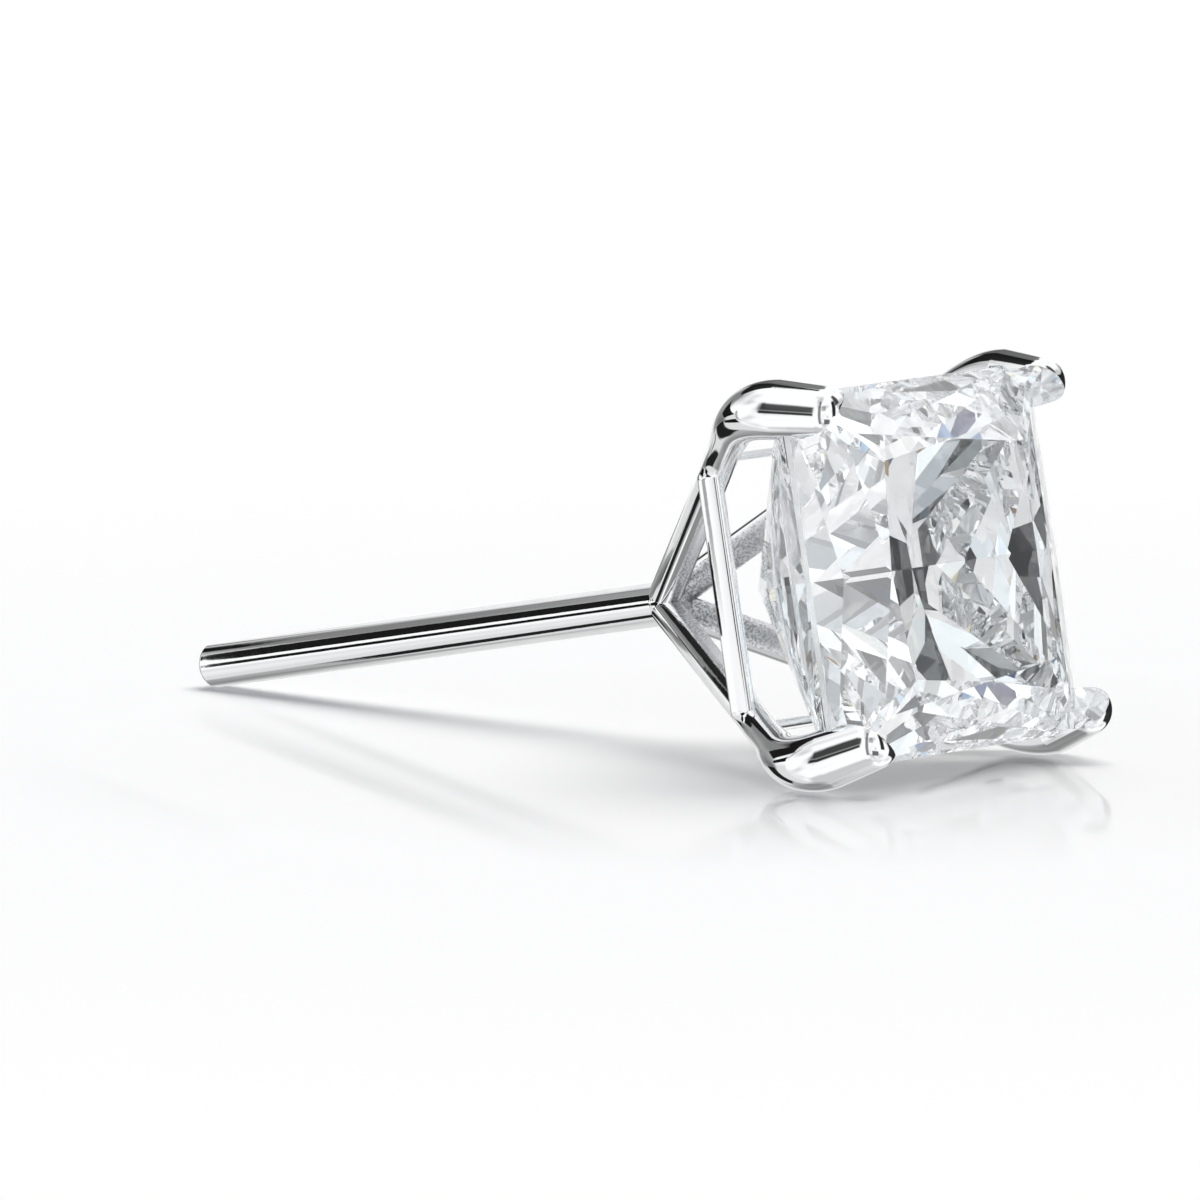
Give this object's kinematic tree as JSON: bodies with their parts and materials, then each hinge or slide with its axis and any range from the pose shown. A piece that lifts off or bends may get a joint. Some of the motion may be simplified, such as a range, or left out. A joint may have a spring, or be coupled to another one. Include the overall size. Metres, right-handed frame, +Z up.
{
  "type": "stud earring",
  "caption": "Stud earring: a square-cut clear stone in a claw basket of polished white metal, with a straight round ear post.",
  "frame": {"origin": "the surface that the stud lies on, under the centre of its box", "axes": "+Z is up; the stone faces -Y and leans up from it by 10.9 degrees; the ear post runs back along +Y and down to the surface; +X is across the stud, to the right of someone who looks along +Y"},
  "size_m": [0.0072, 0.0186, 0.0071],
  "materials": {
    "white_metal": "polished white gold, with fine polishing marks",
    "clear_stone": "cut and polished flat facets, colourless"
  },
  "bodies": {
    "root": {"setting": "white_metal", "stone": "clear_stone"}
  },
  "joints": []
}
